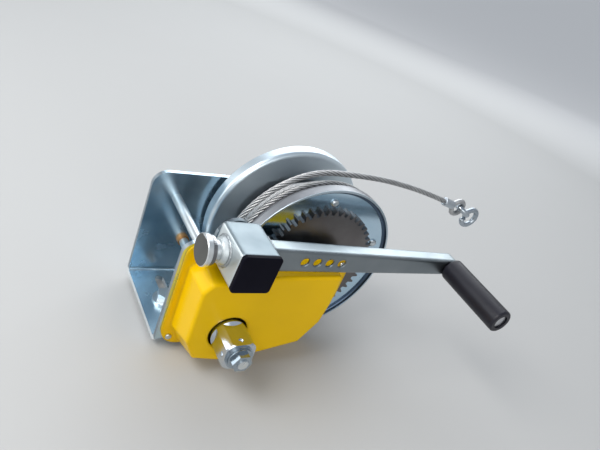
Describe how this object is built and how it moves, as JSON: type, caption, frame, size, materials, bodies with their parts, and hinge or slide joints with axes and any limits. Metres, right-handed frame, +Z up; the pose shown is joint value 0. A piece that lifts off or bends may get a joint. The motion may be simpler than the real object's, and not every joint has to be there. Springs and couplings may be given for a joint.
{
  "type": "geared hand winch",
  "caption": "Geared hand winch of a trailer: rope drum with its wire rope and hook between folded side plates, gear cover, square drive end and the crank parked on its stud.",
  "frame": {"origin": "midway between the two rear base slots, on the underside of the base plate", "axes": "+X toward the load, +Y along the drum's axle away from the crank side, +Z up from the base plate"},
  "size_m": [0.4376, 0.261, 0.212],
  "materials": {
    "zinc_sheet": "bright blue-passivated zinc on sheet steel",
    "zinc_steel": "zinc plated steel",
    "turned_steel": "turned steel, slightly dulled",
    "bronze": "sintered bronze",
    "yellow_cover": "yellow moulded plastic, half gloss",
    "black_plastic": "black plastic",
    "wire_rope": "galvanised stranded wire rope",
    "hook_steel": "galvanised forged steel"
  },
  "bodies": {
    "winch": {"side_frame": "zinc_sheet", "tie_rod": "zinc_steel", "drum_axle": "zinc_steel", "far_bronze_bush": "bronze", "near_shaft_bush": "bronze", "counter_shaft_bush": "bronze", "gear_cover": "yellow_cover", "cover_screws": "zinc_steel", "parking_stud": "zinc_steel", "mount_bolt": "zinc_steel", "rope_stretch": "wire_rope", "rope_ferrule": "hook_steel", "rope_eye": "wire_rope", "load_hook": "hook_steel", "hook_latch": "hook_steel"},
    "drum": {"far_drum_flange": "zinc_sheet", "near_drum_flange": "zinc_sheet", "drum_barrel": "zinc_sheet", "drum_gear": "zinc_steel", "drum_rivets": "zinc_steel", "rope_winding": "wire_rope"},
    "input": {"input_shaft": "zinc_steel", "input_pinion": "zinc_steel", "input_drive_end": "zinc_steel", "input_end_nut": "zinc_steel"},
    "countershaft": {"counter_shaft": "zinc_steel", "counter_gear": "zinc_steel"},
    "crank": {"crank_hub": "zinc_steel", "crank_hub_cap": "black_plastic", "crank_arm": "zinc_steel", "lock_knob": "turned_steel", "lock_knob_collar": "zinc_steel", "grip_pin": "turned_steel"},
    "grip": {"crank_grip": "black_plastic"}
  },
  "joints": [
    {"name": "input_spin", "type": "hinge", "parent": "winch", "child": "input", "pos_m": [0.0225, 0, 0.0515], "axis": [0, 1, 0], "continuous": true},
    {"name": "countershaft_spin", "type": "hinge", "parent": "winch", "child": "countershaft", "pos_m": [0.06446, 0, 0.05786], "axis": [0, 1, 0], "continuous": true},
    {"name": "drum_spin", "type": "hinge", "parent": "winch", "child": "drum", "pos_m": [0.1393, 0, 0.096], "axis": [0, 1, 0], "continuous": true},
    {"name": "crank_slide", "type": "slide", "parent": "winch", "child": "crank", "axis": [0, -1, 0], "range_m": [0, 0.05]},
    {"name": "grip_spin", "type": "hinge", "parent": "crank", "child": "grip", "pos_m": [0.2949, 0, 0.13574], "axis": [0, 1, 0], "continuous": true}
  ],
  "couplings": [
    {"joint": "countershaft_spin", "follows": "input_spin", "ratio": -0.47826},
    {"joint": "drum_spin", "follows": "input_spin", "ratio": 0.068323}
  ]
}
